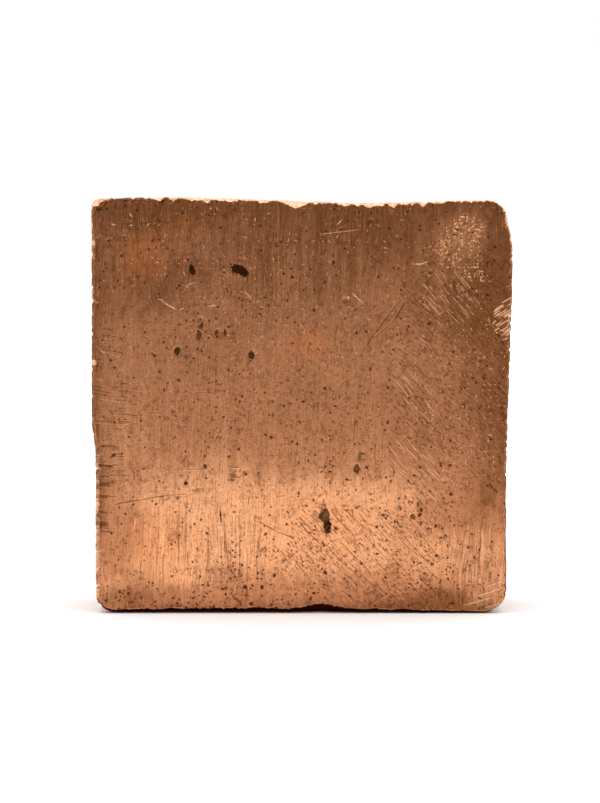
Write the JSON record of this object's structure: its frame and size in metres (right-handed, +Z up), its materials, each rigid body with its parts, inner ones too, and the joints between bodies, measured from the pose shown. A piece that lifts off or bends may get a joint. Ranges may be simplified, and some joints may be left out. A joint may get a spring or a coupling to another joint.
{
  "type": "copper ingot",
  "caption": "Thick square hand-poured copper ingot with drafted walls, a wavy worn outline, a chipped round lip and a ground front face; stands on its lower wall.",
  "frame": {"origin": "middle of the ingot's box at floor level, under the ingot as it stands on its lower wall", "axes": "+Z up, +X to the right along the ground face's width, +Y from the ground face back to the mould-floor face"},
  "size_m": [0.0381, 0.0128, 0.0376],
  "materials": {
    "copper": "satin"
  },
  "bodies": {
    "root": {"ingot": "copper"}
  },
  "joints": []
}
